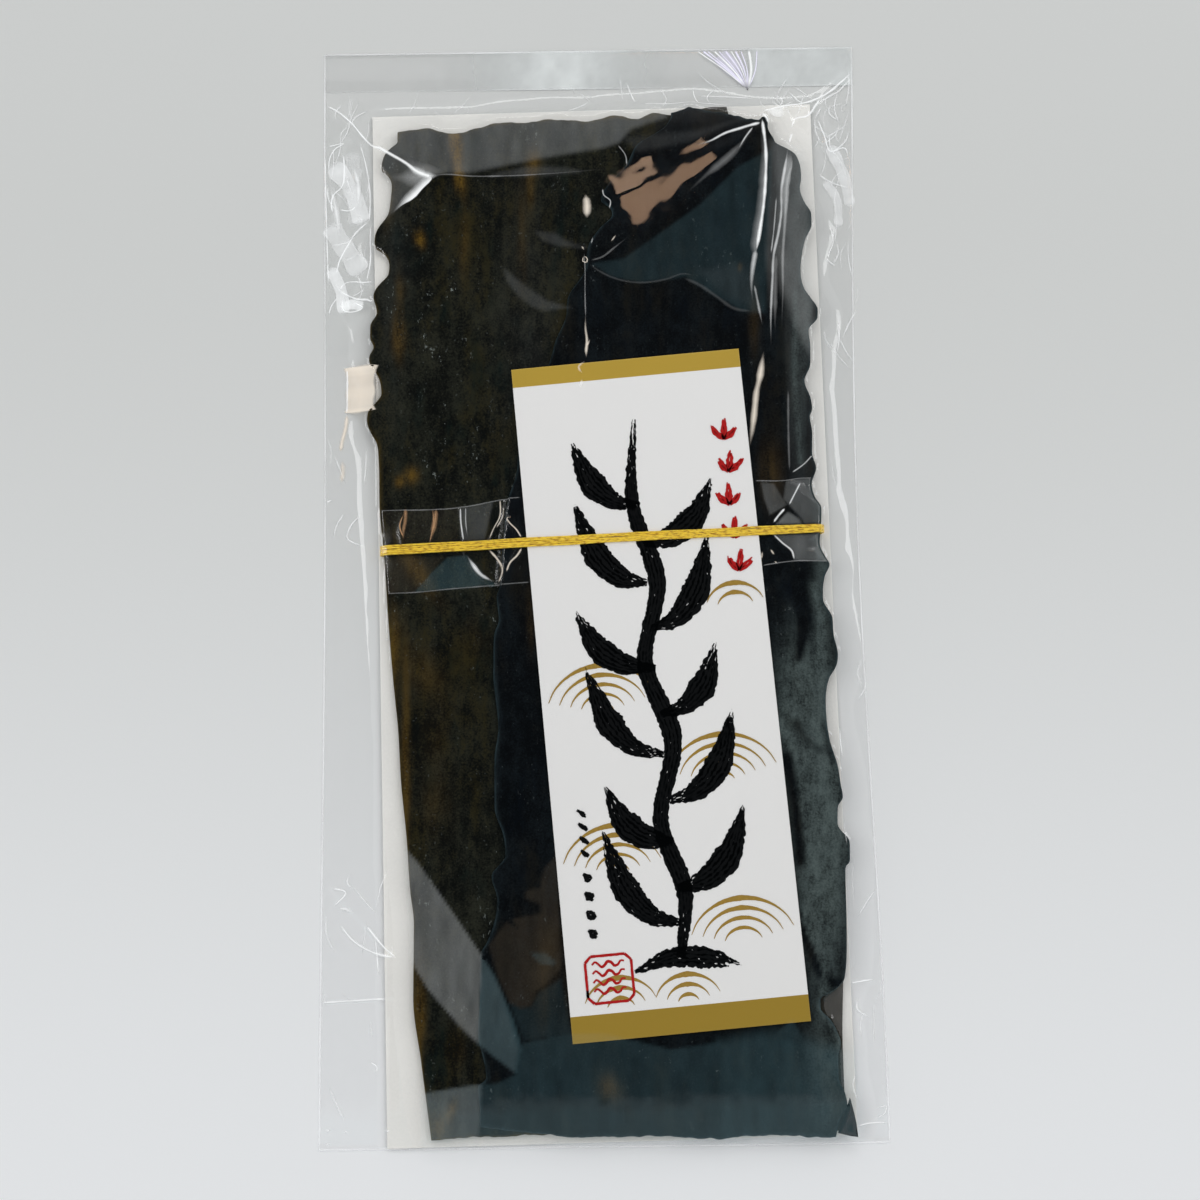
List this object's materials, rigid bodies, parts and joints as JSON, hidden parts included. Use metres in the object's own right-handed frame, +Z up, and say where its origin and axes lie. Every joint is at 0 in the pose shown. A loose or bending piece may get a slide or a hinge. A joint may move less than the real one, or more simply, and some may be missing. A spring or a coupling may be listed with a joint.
{
  "type": "dried kelp sheet",
  "caption": "Flat clear pouch of dried kelp: overlapping ruffled sheets on a backing card, with a label card under an elastic loop, lying face up.",
  "frame": {"origin": "middle of the pouch's underside", "axes": "+X to the right of the label side, +Y along the pouch towards its folded header, +Z up out of the label side"},
  "size_m": [0.1694, 0.34, 0.0084],
  "materials": {
    "pouch_film": "clear glossy plastic film",
    "kelp_olive": "dried, wrinkled, satin",
    "kelp_dark": "dried, wrinkled, satin",
    "backing_card": "matt white card",
    "label_card": "white card with gold bands",
    "gold_elastic": "metallic thread"
  },
  "bodies": {
    "root": {"pouch": "pouch_film"}
  },
  "joints": []
}
